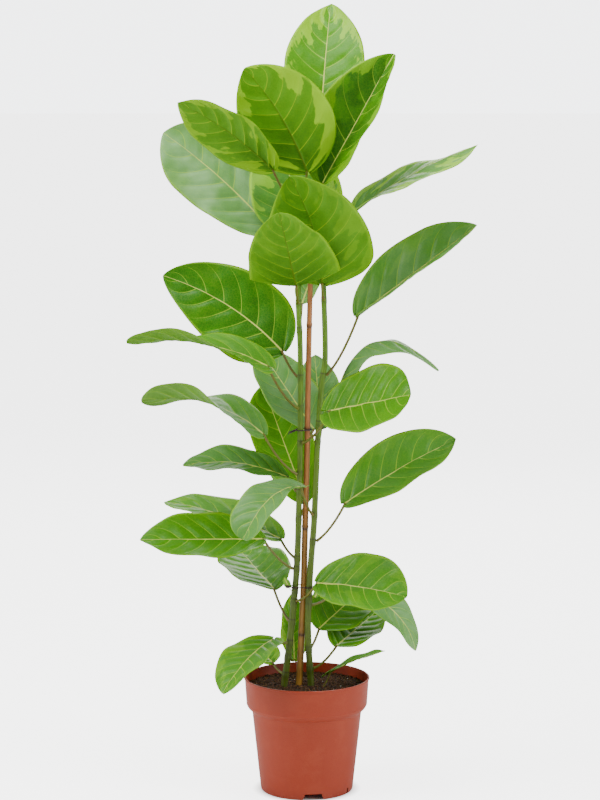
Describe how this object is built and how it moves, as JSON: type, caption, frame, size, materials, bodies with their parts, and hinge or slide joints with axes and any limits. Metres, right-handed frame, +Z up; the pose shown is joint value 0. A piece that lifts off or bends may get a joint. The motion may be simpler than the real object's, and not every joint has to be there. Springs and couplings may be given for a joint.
{
  "type": "potted council tree fig",
  "caption": "Tall fig with two slender stems tied to a bamboo cane, large oval lime and green leaves, in a tapered nursery pot filled with soil.",
  "frame": {"origin": "middle of the pot's base, on the surface that it stands on", "axes": "+Z up the plant, +X to the right seen from the front, +Y away from the front"},
  "size_m": [0.57, 0.3776, 1.307],
  "materials": {
    "pot": "moulded terracotta-coloured plastic, satin",
    "soil": "crumbly dark peat with bark and fibres",
    "bark": "smooth green young bark",
    "bamboo": "dry tan bamboo",
    "wire": "dark coated tie wire",
    "leaf": "waxy leaf, lime and green with pale veins"
  },
  "bodies": {
    "root": {"pot": "pot", "potting_soil": "soil", "stem_left": "bark", "stem_right": "bark", "bamboo_cane": "bamboo", "tie_upper": "wire", "tie_lower": "wire", "leaf_01": "leaf", "leaf_02": "leaf", "leaf_03": "leaf", "leaf_04": "leaf", "leaf_05": "leaf", "leaf_06": "leaf", "leaf_07": "leaf", "leaf_08": "leaf", "leaf_09": "leaf", "leaf_10": "leaf", "leaf_11": "leaf", "leaf_12": "leaf", "leaf_13": "leaf", "leaf_14": "leaf", "leaf_15": "leaf", "leaf_16": "leaf", "leaf_17": "leaf", "leaf_18": "leaf", "leaf_19": "leaf", "leaf_20": "leaf", "leaf_21": "leaf", "leaf_22": "leaf", "leaf_23": "leaf", "leaf_24": "leaf", "leaf_25": "leaf", "leaf_26": "leaf", "leaf_27": "leaf", "leaf_28": "leaf", "leaf_29": "leaf", "leaf_30": "leaf", "leaf_31": "leaf", "leaf_32": "leaf", "leaf_33": "leaf", "leaf_34": "leaf", "leaf_35": "leaf", "leaf_36": "leaf"}
  },
  "joints": []
}
